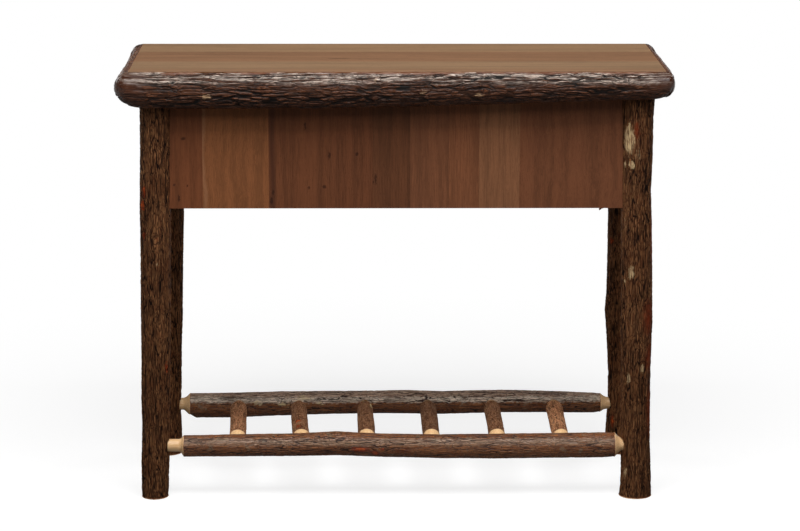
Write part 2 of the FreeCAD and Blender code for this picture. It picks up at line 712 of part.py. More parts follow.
def rung_mortises(label, row):
    """The round holes for the rungs, from inside the rack to just short of the middle."""
    holes = []
    for number, ends in enumerate(RUNG_PLACE_SHARES, start=1):
        share = ends[0] if row < 0 else ends[1]
        holes.append(rod(
            f"{label}_mortise_{number}",
            "(sizes.rung_tenon_diameter + 2 * sizes.glue_gap)",
            "sizes.stretcher_diameter",
            (
                f"{RACK_X} * ({share})",
                f"({ROW_Y} - sizes.tenon_stop + sizes.mortise_end_room) * ({row})",
                "sizes.rack_height",
            ),
            ALONG_Y if row < 0 else AGAINST_Y,
        ))
    return holes


stretcher("stretcher_front", -1, ("sizes.setback_front_left", "sizes.setback_front_right"))
stretcher("stretcher_back", 1, ("sizes.setback_back_left", "sizes.setback_back_right"))

# Rungs: short poles whose own z runs from the front stretcher's axis to the back one's. Each
# row of shares is the place along the bark, the bow to the right and the diameter.
RUNG_SHARES = (
    ((0.0, 0.0, 0.97), (0.3, 0.02, 1.0), (0.65, 0.01, 1.0), (1.0, 0.0, 1.03)),
    ((0.0, 0.0, 1.03), (0.3, -0.02, 1.0), (0.65, -0.01, 1.0), (1.0, 0.0, 1.0)),
    ((0.0, 0.0, 1.03), (0.35, 0.02, 1.05), (0.7, 0.0, 1.0), (1.0, 0.0, 0.97)),
    ((0.0, 0.0, 1.0), (0.3, 0.0, 1.02), (0.65, 0.02, 1.03), (1.0, 0.0, 1.02)),
    ((0.0, 0.0, 1.0), (0.35, 0.02, 0.98), (0.7, 0.01, 0.98), (1.0, 0.0, 1.0)),
    ((0.0, 0.0, 0.95), (0.3, -0.02, 0.98), (0.65, -0.01, 1.0), (1.0, 0.0, 1.03)),
)
DOME_SHARES = ((0.0, 1.0), (0.4, 0.88), (0.75, 0.5), (1.0, 0.0))


def rung(number, ends, shares):
    """A pole with a domed peeled shoulder and a tenon at each end."""
    label = f"rung_{number}"
    body = doc.addObject("PartDesign::Body", label)
    skew = f"{RACK_X} * ({ends[1] - ends[0]:.4f})"
    reach = f"({ROW_Y} * 2)"
    front = "sizes.rung_front_setback"
    back = "sizes.rung_back_setback"
    size = "sizes.rung_diameter"
    tenon = "sizes.rung_tenon_diameter"
    neck = "(sizes.stretcher_diameter / 2 + sizes.rung_neck)"
    bark = []
    for along_share, bow_share, diameter_share in shares:
        bark.append((
            "0",
            f"{skew} * {along_share} + {size} * ({bow_share})",
            f"{front} + ({reach} - {front} - {back}) * {along_share}",
            f"{size} * {diameter_share}",
        ))
    log(body, f"{label}_bark", bark)
    front_dome = []
    back_dome = []
    for along_share, fullness in DOME_SHARES:
        near = f"{size} * {shares[0][2]} * {fullness} + {tenon} * {1 - fullness:.2f}"
        far = f"{size} * {shares[-1][2]} * {fullness} + {tenon} * {1 - fullness:.2f}"
        front_dome.append(("0", "0", f"{front} - ({front} - {neck}) * {along_share}", near))
        back_dome.append(
            ("0", skew, f"{reach} - {back} + ({back} - {neck}) * {along_share}", far)
        )
    log(body, f"{label}_dome_front", front_dome)
    log(body, f"{label}_dome_back", back_dome)
    log(body, f"{label}_tenon_front", [
        ("0", "0", neck, tenon), ("0", "0", "sizes.tenon_stop", tenon),
    ])
    log(body, f"{label}_tenon_back", [
        ("0", skew, f"{reach} - {neck}", tenon), ("0", skew, f"{reach} - sizes.tenon_stop", tenon),
    ])
    place(body, (f"{RACK_X} * ({ends[0]})", f"-{ROW_Y}", "sizes.rack_height"), ALONG_Y)
    keep(body, label)


for number, (ends, shares) in enumerate(zip(RUNG_PLACE_SHARES, RUNG_SHARES), start=1):
    rung(number, ends, shares)

doc.recompute()
for piece in doc.Objects:
    if "Invalid" in piece.State or "Error" in piece.State:
        raise RuntimeError(f"{piece.Name} did not build: {piece.State}")
for node in nodes:
    if node.Shape.isNull() or not node.Shape.isValid():
        raise RuntimeError(f"{node.Label} has no valid shape")

os.makedirs("parts", exist_ok=True)
for node in nodes:
    node.Shape.exportStep(f"parts/{node.Label}.step")
    print(node.Label, len(node.Shape.Solids), round(node.Shape.Volume))
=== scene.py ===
import json
import math

import bpy
import numpy as np
from mathutils import Matrix, Vector

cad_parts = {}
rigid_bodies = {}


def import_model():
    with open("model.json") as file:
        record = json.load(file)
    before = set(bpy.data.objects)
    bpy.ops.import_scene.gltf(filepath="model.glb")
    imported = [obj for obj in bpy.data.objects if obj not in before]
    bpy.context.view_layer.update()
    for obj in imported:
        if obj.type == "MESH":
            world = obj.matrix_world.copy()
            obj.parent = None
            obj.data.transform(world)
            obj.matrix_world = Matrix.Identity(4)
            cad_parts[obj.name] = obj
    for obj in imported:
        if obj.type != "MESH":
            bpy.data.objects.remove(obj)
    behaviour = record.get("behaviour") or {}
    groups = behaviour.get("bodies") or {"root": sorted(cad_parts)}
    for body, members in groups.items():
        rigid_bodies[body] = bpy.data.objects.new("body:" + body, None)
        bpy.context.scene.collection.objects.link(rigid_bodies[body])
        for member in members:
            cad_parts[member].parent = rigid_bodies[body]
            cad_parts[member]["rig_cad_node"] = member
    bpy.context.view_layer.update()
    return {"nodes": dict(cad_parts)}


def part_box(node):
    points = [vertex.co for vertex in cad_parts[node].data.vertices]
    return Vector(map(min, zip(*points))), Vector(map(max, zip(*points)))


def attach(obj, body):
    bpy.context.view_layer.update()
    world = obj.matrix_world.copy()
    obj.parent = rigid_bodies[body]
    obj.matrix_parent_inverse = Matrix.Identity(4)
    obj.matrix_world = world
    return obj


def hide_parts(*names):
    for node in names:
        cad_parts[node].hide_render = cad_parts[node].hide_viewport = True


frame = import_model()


# Legs: four hickory poles with the bark left on, sawn square at both ends and lacquered.
# The aprons are let into grooves in their heads, and the rack is tenoned into their feet.
LEG_MESH = 0.0016
LEG_X = 0.4755
LEG_Y = 0.1582
LEG_CORE = 0.02
LEG_SKIN = 0.026
LEG_GROWTH = 0.002
SAWN_SKIN = 0.0014
STUB_HEIGHT = 0.523
STUB_ROOT = 0.4505
STUB_RISE = 0.02
STUB_REACH = 0.014
STUB_THINNING = 0.45


def shade(red, green, blue):
    """A colour written as 0 to 255 values on a screen, as Blender takes it."""
    def linear(value):
        value = value / 255
        return value / 12.92 if value <= 0.04045 else ((value + 0.055) / 1.055) ** 2.4
    return (linear(red), linear(green), linear(blue), 1.0)


def darker(colour, share):
    """The same colour with a share of its light."""
    return shade(*(channel * share for channel in colour))


def add(tree, kind, inputs, **settings):
    """A node with its settings, each input a value or another node's output."""
    node = tree.nodes.new(kind)
    for name, value in settings.items():
        setattr(node, name, value)
    for name, value in inputs.items():
        if isinstance(value, bpy.types.NodeSocket):
            tree.links.new(value, node.inputs[name])
        else:
            node.inputs[name].default_value = value
    return node


def sums(tree, operation, *values, clamp=False):
    """Arithmetic on numbers."""
    inputs = dict(enumerate(values))
    return add(tree, "ShaderNodeMath", inputs, operation=operation, use_clamp=clamp).outputs[0]


def vectors(tree, operation, *values):
    """Arithmetic on vectors. A length or a dot product comes out as a number."""
    node = add(tree, "ShaderNodeVectorMath", dict(enumerate(values)), operation=operation)
    return node.outputs[1 if operation in ("DOT_PRODUCT", "LENGTH") else 0]


def times(tree, vector, number):
    """A vector times a number."""
    node = add(tree, "ShaderNodeVectorMath", {0: vector, "Scale": number}, operation="SCALE")
    return node.outputs[0]


def cloud(tree, vector, scale, detail=2.0, colour=False):
    """Soft noise between 0 and 1, or as a colour for three at once."""
    inputs = {"Vector": vector, "Scale": scale, "Detail": detail}
    return add(tree, "ShaderNodeTexNoise", inputs).outputs[1 if colour else 0]


def wobble(tree, vector, scale, detail):
    """Three soft noises about zero, to bend a place by."""
    return vectors(tree, "SUBTRACT", cloud(tree, vector, scale, detail, True), (0.5, 0.5, 0.5))


def cell_edge(tree, vector):
    """Distance to the nearest edge of a net of cells one unit wide."""
    inputs = {"Vector": vector, "Scale": 1.0}
    return add(tree, "ShaderNodeTexVoronoi", inputs, feature="DISTANCE_TO_EDGE").outputs[0]


def span(tree, value, low, high, start=0.0, end=1.0):
    """A smooth step from start to end while value goes from low to high."""
    inputs = {"Value": value, "From Min": low, "From Max": high, "To Min": start, "To Max": end}
    return add(tree, "ShaderNodeMapRange", inputs, interpolation_type="SMOOTHSTEP").outputs[0]


def over(cell):
    """One over each side of a cell."""
    return tuple(1 / side for side in cell)


def store(tree, geometry, name, value, kind="FLOAT"):
    """Keep a number or a place at each point of the mesh under a name, for the material."""
    node = tree.nodes.new("GeometryNodeStoreNamedAttribute")
    node.data_type = kind
    node.inputs["Name"].default_value = name
    tree.links.new(geometry, node.inputs["Geometry"])
    if isinstance(value, bpy.types.NodeSocket):
        tree.links.new(value, node.inputs["Value"])
    else:
        node.inputs["Value"].default_value = value
    return node.outputs[0]


def rim(radius, stretch, grain):
    """One over the reach of a spot, which is stretched along the grain."""
    return [1 / (radius * (stretch if side else 1)) for side in grain]


def near(tree, position, spots, grain, reach=1.0):
    """From 0 to 1 inside any of the spots, each (centre, radius, stretch along the grain) and,
    for a faint one, its strength."""
    total = None
    for centre, radius, stretch, *strength in spots:
        off = vectors(tree, "SUBTRACT", position, centre)
        away = vectors(tree, "MULTIPLY", off, rim(radius, stretch, grain))
        top = strength[0] if strength else 1.0
        mask = span(tree, vectors(tree, "LENGTH", away), 0.0, reach, top, 0.0)
        total = mask if total is None else sums(tree, "MAXIMUM", total, mask)
    return 0.0 if total is None else total


CRACK_START = 0.02
CRACK_BEND = 1.3
FINE_CRACK = 1.2
HEALED = (0.35, 0.55, 0.3, 1.0)
KNOT_WANDER = 1.2
KNOT_PULL = (0.0, 1.6, 0.8, 0.0)
KNOT_RINGS = 7.0
RING_SECTION = (0.05, 0.5, 0.7, 0.0)
RING_FADE = (0.7, 1.0, 1.0, 0.0)


def cracks(tree, place, bark, knots, width):
    """Where the bark is split: long main fissures that run round the knots, and fine ones."""
    across = tuple(1.0 - side for side in bark["grain"])
    wander = wobble(tree, place, 22.0, 3.0)
    bent = place
    rings = 0.0
    for centre, radius, stretch in knots:
        off = vectors(tree, "SUBTRACT", place, centre)
        share = vectors(tree, "MULTIPLY", off, rim(radius, stretch, bark["grain"]))
        share = vectors(tree, "ADD", share, times(tree, wander, KNOT_WANDER))
        share = vectors(tree, "LENGTH", share)
        aside = times(tree, vectors(tree, "MULTIPLY", off, across), span(tree, share, *KNOT_PULL))
        bent = vectors(tree, "SUBTRACT", bent, aside)
        wave = sums(tree, "SINE", sums(tree, "MULTIPLY", share, KNOT_RINGS))
        ring = span(tree, sums(tree, "ABSOLUTE", wave), *RING_SECTION)
        ring = sums(tree, "MULTIPLY", ring, span(tree, share, *RING_FADE))
        rings = ring if rings == 0.0 else sums(tree, "MAXIMUM", rings, ring)
    bend = vectors(tree, "MULTIPLY", wander, [CRACK_BEND * side for side in bark["cell"]])
    bent = vectors(tree, "ADD", bent, bend)
    deep = cell_edge(tree, vectors(tree, "MULTIPLY", bent, over(bark["cell"])))
    deep = span(tree, deep, CRACK_START, width, 1.0, 0.0)
    fine = cell_edge(tree, vectors(tree, "MULTIPLY", bent, over(bark["fine_cell"])))
    fine = span(tree, fine, CRACK_START, width * FINE_CRACK, 1.0, 0.0)
    healed = cloud(tree, vectors(tree, "MULTIPLY", place, over(bark["cell"])), 0.35)
    deep = sums(tree, "MULTIPLY", deep, span(tree, healed, *HEALED))
    return sums(tree, "MAXIMUM", deep, rings), fine


RELIEF_CRACK = 0.2
TORN_ALONG = 0.03
TORN_ACROSS = 0.012
END_FRAY = 0.004
END_STEP = 0.0006
FACING_WOOD = (0.4, 0.65, 1.0, 0.0)
FACING_UP = (0.2, 0.5)
INNER_FRAY = (0.38, 0.6, 0.15, 1.7)
INNER_FADE = (0.75, 1.1, 1.0, 0.0)
INNER_COVER = (0.3, 1.2)
PALE_FILLING = 0.7
CRUMB = 0.0005


def bark_relief(piece, bark, ends, knots=(), pale=(), rust=(), flat=None, inner_width=0.0,
                sanded=(), painted_highlight_heights=()):
    """Cut the cracks of the bark into a pole, always inwards, and keep by name what shows.
    ends are where the bark stops along the grain, flat points at the boards, and the last argument
    gives the steps of height between which the bark is painted silvery, a painted highlight in
    place of a lamp's sheen."""
    grain = bark["grain"]
    tree = bpy.data.node_groups.new(f"{piece.name}_relief", "GeometryNodeTree")
    for way in ("INPUT", "OUTPUT"):
        tree.interface.new_socket("Geometry", in_out=way, socket_type="NodeSocketGeometry")
    geometry = tree.nodes.new("NodeGroupInput").outputs[0]
    place = tree.nodes.new("GeometryNodeInputPosition").outputs[0]
    normal = tree.nodes.new("GeometryNodeInputNormal").outputs[0]
    deep, fine = cracks(tree, place, bark, knots, RELIEF_CRACK)
    torn = wobble(tree, place, 160.0, 4.0)
    torn = vectors(tree, "MULTIPLY", torn, [TORN_ALONG if side else TORN_ACROSS for side in grain])
    torn = vectors(tree, "ADD", place, torn)
    fray = sums(tree, "MULTIPLY", sums(tree, "SUBTRACT", cloud(tree, place, 90.0), 0.5), END_FRAY)
    along = sums(tree, "ADD", vectors(tree, "DOT_PRODUCT", place, grain), fray)
    start = span(tree, along, ends[0] - END_STEP, ends[0] + END_STEP, 1.0, 0.0)
    finish = span(tree, along, ends[1] - END_STEP, ends[1] + END_STEP, 0.0, 1.0)
    bare = sums(tree, "MAXIMUM", start, finish)
    cover = sums(tree, "SUBTRACT", 1.0, bare)
    smooth = near(tree, place, sanded, grain)
    inner = 0.0
    if flat is not None:
        line, direction = flat
        facing = span(tree, vectors(tree, "DOT_PRODUCT", normal, direction), *FACING_WOOD)
        cover = sums(tree, "MULTIPLY", cover, facing)
        gap = sums(tree, "SUBTRACT", line, vectors(tree, "DOT_PRODUCT", place, direction))
        frayed = cloud(tree, vectors(tree, "MULTIPLY", place, over(bark["cell"])), 0.8, 4.0)
        width = sums(tree, "MULTIPLY", span(tree, frayed, *INNER_FRAY), inner_width)
        share = sums(tree, "DIVIDE", gap, width)
        top = span(tree, vectors(tree, "DOT_PRODUCT", normal, (0.0, 0.0, 1.0)), *FACING_UP)
        top = sums(tree, "MULTIPLY", top, sums(tree, "SUBTRACT", 1.0, smooth))
        inner = sums(tree, "MULTIPLY", span(tree, share, *INNER_FADE), top)
        cover = sums(tree, "MULTIPLY", cover, span(tree, share, *INNER_COVER))
    cover = sums(tree, "MULTIPLY", cover, sums(tree, "SUBTRACT", 1.0, smooth))
    patch = near(tree, torn, pale, grain)
    filled = sums(tree, "MULTIPLY", patch, PALE_FILLING)
    cover = sums(tree, "MULTIPLY", cover, sums(tree, "SUBTRACT", 1.0, filled))
    # Painted highlight band: 1 between the given steps of height, where the bark is painted silvery
    # in place of a lamp's sheen.
    height = vectors(tree, "DOT_PRODUCT", torn, (0.0, 0.0, 1.0))
    painted_highlight_band = 1.0 if painted_highlight_heights else 0.0
    for step in painted_highlight_heights:
        painted_highlight_band = sums(tree, "MULTIPLY", span(tree, height, *step), painted_highlight_band)
    cut = sums(tree, "ADD", sums(tree, "MULTIPLY", deep, bark["depths"][0]),
               sums(tree, "MULTIPLY", fine, bark["depths"][1]))
    roll = sums(tree, "MULTIPLY", cloud(tree, place, 16.0), bark["swell"])
    crumb = sums(tree, "MULTIPLY", cloud(tree, place, 700.0, 3.0), CRUMB)
    cut = sums(tree, "ADD", cut, sums(tree, "ADD", roll, crumb))
    cut = sums(tree, "MULTIPLY", cut, cover)
    geometry = store(tree, geometry, "skin", place, "FLOAT_VECTOR")
    for name, value in (
        ("cover", cover), ("bare", bare), ("inner", inner), ("sanded", smooth), ("pale", patch),
        ("rust", near(tree, torn, rust, grain)), ("painted_highlight_band", painted_highlight_band),
    ):
        geometry = store(tree, geometry, name, value)
    offset = times(tree, normal, sums(tree, "MULTIPLY", cut, -1.0))
    moved = add(tree, "GeometryNodeSetPosition", {"Geometry": geometry, "Offset": offset})
    tree.links.new(moved.outputs[0], tree.nodes.new("NodeGroupOutput").inputs[0])
    relief = piece.modifiers.new("bark relief", "NODES")
    relief.node_group = tree
    bpy.ops.object.modifier_apply(modifier=relief.name)


def even_mesh(piece, mesh_size):
    """Mesh a closed piece again in small squares of one size."""
    even = piece.modifiers.new("even mesh", "REMESH")
    even.mode = "VOXEL"
    even.voxel_size = mesh_size
    even.use_smooth_shade = True
    bpy.ops.object.modifier_apply(modifier=even.name)


MERGE = 0.00001


def fine_copy(node, name, mesh_size):
    """A closed and evenly meshed copy of a pole of the frame, which it then stands for."""
    bpy.ops.object.select_all(action="DESELECT")
    source = frame["nodes"][node]
    source.select_set(True)
    bpy.context.view_layer.objects.active = source
    bpy.ops.object.duplicate()
    piece = bpy.context.active_object
    piece.name = name
    piece.data.name = name
    del piece["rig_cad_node"]
    bpy.ops.object.mode_set(mode="EDIT")
    bpy.ops.mesh.select_all(action="SELECT")
    bpy.ops.mesh.remove_doubles(threshold=MERGE)
    bpy.ops.mesh.normals_make_consistent(inside=False)
    bpy.ops.object.mode_set(mode="OBJECT")
    even_mesh(piece, mesh_size)
    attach(piece, "root")
    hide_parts(node)
    return piece


def named(tree, name):
    """A number that the mesh keeps at each point."""
    return add(tree, "ShaderNodeAttribute", {}, attribute_name=name).outputs["Fac"]


def blend(tree, share, first, second):
    """From the first colour to the second as share goes from 0 to 1."""
    node = add(tree, "ShaderNodeMix", {"Factor": share}, data_type="RGBA")
    for socket, colour in zip([s for s in node.inputs if s.type == "RGBA"], (first, second)):
        if isinstance(colour, bpy.types.NodeSocket):
            tree.links.new(colour, socket)
        else:
            socket.default_value = colour
    return [s for s in node.outputs if s.type == "RGBA"][0]


STREAKS = (0.38, 0.62)
FINE_DARK = 0.75
BUMP_DEPTH = 0.0008
RED_BARK = (shade(92, 54, 36), shade(124, 82, 58))
SANDED_BARK = shade(60, 36, 28)
LICHEN = shade(150, 138, 112)
RUST = shade(118, 48, 24)
BRIGHT_RUST = shade(204, 92, 38)
CUT_RIM = shade(120, 62, 34)
BARE_WOOD = (shade(234, 182, 126), shade(255, 216, 166))


def new_finish(name, shine):
    """A new material, its tree and its shader, with so much of a sheen."""
    made = bpy.data.materials.new(name)
    made.use_nodes = True
    shader = made.node_tree.nodes["Principled BSDF"]
    shader.inputs["Specular IOR Level"].default_value = shine
    return made, made.node_tree, shader


def bark_finish(name, bark, knots=()):
    """Lacquered bark: streaks along the grain, cracks darkened partly by their own dark inner bark
    and partly by painted shade, a painted highlight on the upper ridges, and bare wood.
    """
    grain = bark["grain"]
    made, tree, shader = new_finish(name, bark["shine"])
    place = add(tree, "ShaderNodeAttribute", {}, attribute_name="skin").outputs["Vector"]
    thread = [1 / bark["streak"][1 if side else 0] for side in grain]
    fibre = cloud(tree, vectors(tree, "MULTIPLY", place, thread), 1.0, 4.0)
    thick = cloud(tree, vectors(tree, "MULTIPLY", place, [side / 4 for side in thread]), 1.0, 3.0)
    cloudy = cloud(tree, place, 18.0, 3.0)
    deep, fine = cracks(tree, place, bark, knots, bark["crack"])
    crack = sums(tree, "MAXIMUM", deep, sums(tree, "MULTIPLY", fine, FINE_DARK))
    crack = sums(tree, "MULTIPLY", crack, named(tree, "cover"))
    colour = blend(tree, span(tree, fibre, *STREAKS), bark["body"], bark["ridge"])
    plain = sums(tree, "MULTIPLY", span(tree, cloudy, 0.45, 0.7), 0.5)
    colour = blend(tree, plain, colour, bark["body"])
    # Painted highlight: within the band of height the ridges are painted a silvery colour, in place
    # of the sheen a lamp would give.
    if "painted_highlight" in bark:
        painted_highlight = sums(tree, "MULTIPLY", named(tree, "painted_highlight_band"), span(tree, thick, *bark["patch"]))
        painted_highlight = sums(tree, "MULTIPLY", painted_highlight, span(tree, fibre, 0.38, 0.55, 0.2, 1.0))
        colour = blend(tree, painted_highlight, colour, bark["painted_highlight"])
    # Painted shade: the cracks take the near-black crack colour, partly the bark's own dark inner
    # layer and partly shade painted into the recesses; the broad shadow patches take it too.
    shadow = sums(tree, "MULTIPLY", span(tree, thick, 0.32, 0.48, 1.0, 0.0), 0.6)
    colour = blend(tree, shadow, colour, bark["crack_dark_and_shade"])
    if bark["lichen"]:
        crust = cloud(tree, place, 55.0, 5.0)
        spots = sums(tree, "MULTIPLY", span(tree, crust, 0.6, 0.68), bark["lichen"])
        colour = blend(tree, spots, colour, LICHEN)
    colour = blend(tree, crack, colour, bark["crack_dark_and_shade"])
    red = blend(tree, span(tree, fibre, 0.35, 0.65), *RED_BARK)
    colour = blend(tree, sums(tree, "MULTIPLY", named(tree, "inner"), 0.9), colour, red)
    sanded = named(tree, "sanded")
    colour = blend(tree, sums(tree, "MULTIPLY", sanded, 0.75), colour, SANDED_BARK)
    strands = span(tree, fibre, 0.42, 0.56)
    pale = sums(tree, "MULTIPLY", span(tree, named(tree, "pale"), 0.12, 0.6), strands)
    colour = blend(tree, pale, colour, bark["pale"])
    streaky = span(tree, fibre, 0.3, 0.55, 0.4, 1.0)
    rust = sums(tree, "MULTIPLY", named(tree, "rust"), streaky)
    colour = blend(tree, span(tree, rust, 0.05, 0.5), colour, RUST)
    colour = blend(tree, span(tree, rust, 0.4, 0.95), colour, BRIGHT_RUST)
    wood = blend(tree, span(tree, fibre, 0.3, 0.7), *BARE_WOOD)
    bare = named(tree, "bare")
    colour = blend(tree, span(tree, bare, 0.02, 0.5), colour, CUT_RIM)
    colour = blend(tree, span(tree, bare, 0.55, 0.95), colour, wood)
    tree.links.new(colour, shader.inputs["Base Color"])
    rough = sums(tree, "MULTIPLY", crack, 0.4)
    rough = sums(tree, "ADD", rough, sums(tree, "MULTIPLY", fibre, 0.3))
    rough = sums(tree, "SUBTRACT", rough, sums(tree, "MULTIPLY", sanded, 0.16))
    rough = sums(tree, "ADD", rough, bark["gloss"], clamp=True)
    tree.links.new(rough, shader.inputs["Roughness"])
    height = sums(tree, "SUBTRACT", sums(tree, "MULTIPLY", fibre, 0.5), crack)
    bump = add(tree, "ShaderNodeBump", {"Strength": 0.6, "Distance": BUMP_DEPTH, "Height": height})
    tree.links.new(bump.outputs[0], shader.inputs["Normal"])
    return made


def wear(piece, finish):
    """Give a piece one finish."""
    piece.data.materials.clear()
    piece.data.materials.append(finish)


leg_bark = {
    "grain": (0, 0, 1), "cell": (0.0044, 0.0044, 0.045), "fine_cell": (0.002, 0.002, 0.018),
    "depths": (0.0012, 0.0005), "crack": 0.16, "swell": 0.0012, "streak": (0.0011, 0.016),
    "lichen": 0.0, "crack_dark_and_shade": shade(22, 11, 7), "pale": shade(206, 178, 134),
    "gloss": 0.35, "shine": 0.07,
}
LEG_RIDGE = (146, 101, 66)
LEG_BODY = (99, 58, 34)
leg_tones = {
    "leg_front_left": 1.02, "leg_front_right": 1.04, "leg_back_left": 1.14, "leg_back_right": 1.12,
}
leg_knots = {
    "leg_front_left": [
        ((-0.497, -0.187, 0.599), 0.014, 2.0), ((-0.473, -0.187, 0.531), 0.016, 1.6),
        ((-0.47, -0.187, 0.36), 0.012, 2.0),
    ],
    "leg_front_right": [
        ((0.456, -0.187, 0.679), 0.014, 1.6), ((0.460, -0.187, 0.463), 0.012, 2.0),
        ((0.48, -0.18, 0.30), 0.014, 2.0),
    ],
    "leg_back_left": [((-0.48, 0.14, 0.42), 0.014, 2.0)],
    "leg_back_right": [((0.438, 0.14, 0.315), 0.016, 1.8), ((0.445, 0.158, 0.523), 0.014, 1.4)],
}
leg_pale = {
    "leg_front_left": [((-0.472, -0.187, 0.482), 0.007, 1.6, 0.6)],
    "leg_front_right": [
        ((0.4515, -0.183, 0.728), 0.02, 2.2), ((0.452, -0.183, 0.755), 0.008, 1.6),
        ((0.457, -0.187, 0.679), 0.011, 1.2), ((0.441, -0.18, 0.677), 0.009, 1.6),
        ((0.47, -0.187, 0.70), 0.012, 2.4, 0.4), ((0.460, -0.187, 0.463), 0.009, 2.4),
        ((0.444, -0.18, 0.447), 0.008, 1.8), ((0.444, -0.18, 0.56), 0.006, 5.0, 0.6),
        ((0.487, -0.186, 0.269), 0.008, 2.0, 0.8), ((0.46, -0.185, 0.247), 0.008, 2.0, 0.8),
        ((0.4536, -0.18, 0.051), 0.01, 2.0, 0.9),
    ],
}
leg_rust = {
    "leg_front_left": [
        ((-0.494, -0.178, 0.624), 0.009, 2.4), ((-0.4985, -0.175, 0.598), 0.012, 1.3),
        ((-0.495, -0.178, 0.539), 0.009, 2.2, 0.8), ((-0.473, -0.188, 0.531), 0.008, 1.0, 0.35),
        ((-0.4527, -0.178, 0.27), 0.007, 2.4),
    ],
    "leg_front_right": [
        ((0.504, -0.165, 0.53), 0.02, 6.0, 0.5), ((0.495, -0.177, 0.37), 0.028, 2.5, 0.5),
        ((0.4985, -0.172, 0.29), 0.026, 2.5, 0.46), ((0.503, -0.168, 0.18), 0.026, 4.0, 0.46),
        ((0.466, -0.187, 0.75), 0.012, 3.0, 0.5),
    ],
    "leg_back_right": [
        ((0.4511, 0.139, 0.4586), 0.008, 1.4), ((0.4579, 0.1325, 0.0726), 0.009, 2.6),
        ((0.4275, 0.158, 0.53), 0.03, 1.0),
    ],
}


def thicken(piece, centre, grain, core, skin, growth):
    """Grow a pole about its axis before its bark is cut: nothing moves inside the core, and
    beyond the skin's radius all of it does."""
    for point in piece.data.vertices:
        off = point.co - centre
        off -= Vector(grain) * off.dot(Vector(grain))
        share = min(1.0, max(0.0, (off.length - core) / (skin - core)))
        point.co += off.normalized() * growth * share


def lift_stub(piece, tip, root, rise, reach):
    """Turn the snag of a branch up from its tip and thin it there, as the photograph shows."""
    for point in piece.data.vertices:
        place = point.co
        off_axis = math.hypot(place.y - tip.y, place.z - tip.z)
        if place.x > root + reach or off_axis > 2 * reach:
            continue
        out = max(0.0, (root - place.x) / (root - tip.x))
        fade = 1 - max(0.0, place.x - root) / reach
        fade *= 1 - off_axis / (2 * reach)
        thin = 1 - STUB_THINNING * out
        lift = rise * (1 - out) * (fade if out == 0 else 1 - off_axis / (2 * reach))
        place.y = tip.y + (place.y - tip.y) * thin
        place.z = tip.z + (place.z - tip.z) * thin + lift


for node, tone in leg_tones.items():
    low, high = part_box(node)
    leg = fine_copy(node, f"{node}_bark", LEG_MESH)
    if node == "leg_back_right":
        lift_stub(leg, Vector((low.x, LEG_Y, STUB_HEIGHT)), STUB_ROOT, STUB_RISE, STUB_REACH)
    axis = Vector((math.copysign(LEG_X, high.x), math.copysign(LEG_Y, high.y), 0.0))
    thicken(leg, axis, leg_bark["grain"], LEG_CORE, LEG_SKIN, LEG_GROWTH)
    bark_relief(
        leg, leg_bark, (low.z + SAWN_SKIN, high.z - SAWN_SKIN), knots=leg_knots[node],
        pale=leg_pale.get(node, ()), rust=leg_rust.get(node, ()),
    )
    bark = dict(leg_bark, ridge=darker(LEG_RIDGE, tone), body=darker(LEG_BODY, tone))
    wear(leg, bark_finish(leg.name, bark, leg_knots[node]))


# Stretchers: two smooth-barked hickory saplings, peeled to a shoulder and turned to a round
# tenon at each end, which is glued into the leg.
STRETCHER_MESH = 0.0014
STRETCHER_AXIS = 0.1055
STRETCHER_CORE = 0.014
STRETCHER_SKIN = 0.018
STRETCHER_GROWTH = 0.001
# Steps of height of the painted highlight band round each stretcher above its axis, painted silvery
# in place of a lamp's sheen; the back one rises above 1 to paint it brighter.
stretcher_painted_highlight_band = {
    "stretcher_front": ((0.106, 0.115), (0.121, 0.1255, 1.0, 0.0)),
    "stretcher_back": ((0.111, 0.118, 0.0, 1.4), (0.122, 0.1265, 1.0, 0.35)),
}
SLANT_LENGTH = 0.014
SLANT_HEIGHT = 0.013
HEEL_START = -0.245
HEEL_LENGTH = 0.17
HEEL_DROP = 0.0036
SLANT_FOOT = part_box("stretcher_back")[0].z - HEEL_DROP
stretcher_bark = {
    "grain": (1, 0, 0), "cell": (0.05, 0.005, 0.005), "fine_cell": (0.016, 0.0019, 0.0019),
    "depths": (0.0005, 0.0003), "crack": 0.1, "swell": 0.0012, "streak": (0.0009, 0.026),
    "lichen": 0.4, "ridge": shade(172, 113, 70), "body": shade(122, 67, 35),
    "crack_dark_and_shade": shade(46, 24, 13), "patch": (0.18, 0.42), "pale": shade(226, 206, 156),
    "gloss": 0.1, "shine": 0.4,
}
# Colours of the painted highlight, the back stretcher's much lighter, standing in for the light
# that the top keeps off it.
stretcher_painted_highlight = {
    "stretcher_front": shade(178, 144, 116), "stretcher_back": shade(250, 228, 204),
}
bark_ends = {"stretcher_front": (-0.4255, 0.4366), "stretcher_back": (-0.4304, 0.4348)}
stretcher_knots = {
    "stretcher_front": [
        ((-0.028, -0.18, 0.106), 0.012, 1.6), ((0.094, -0.178, 0.122), 0.013, 1.5),
        ((-0.118, -0.165, 0.128), 0.016, 2.0),
    ],
    "stretcher_back": [
        ((-0.234, 0.14, 0.112), 0.012, 1.4), ((0.018, 0.15, 0.13), 0.014, 1.6),
        ((0.094, 0.14, 0.094), 0.016, 2.0), ((-0.09, 0.14, 0.106), 0.01, 1.6),
    ],
}
stretcher_rust = {
    "stretcher_front": [
        ((-0.0725, -0.181, 0.102), 0.010, 3.2), ((-0.0436, -0.181, 0.0935), 0.009, 1.8),
        ((-0.03, -0.181, 0.103), 0.005, 1.2), ((0.012, -0.181, 0.098), 0.012, 3.0, 0.3),
    ],
    "stretcher_back": [((-0.096, 0.136, 0.106), 0.005, 1.4)],
}
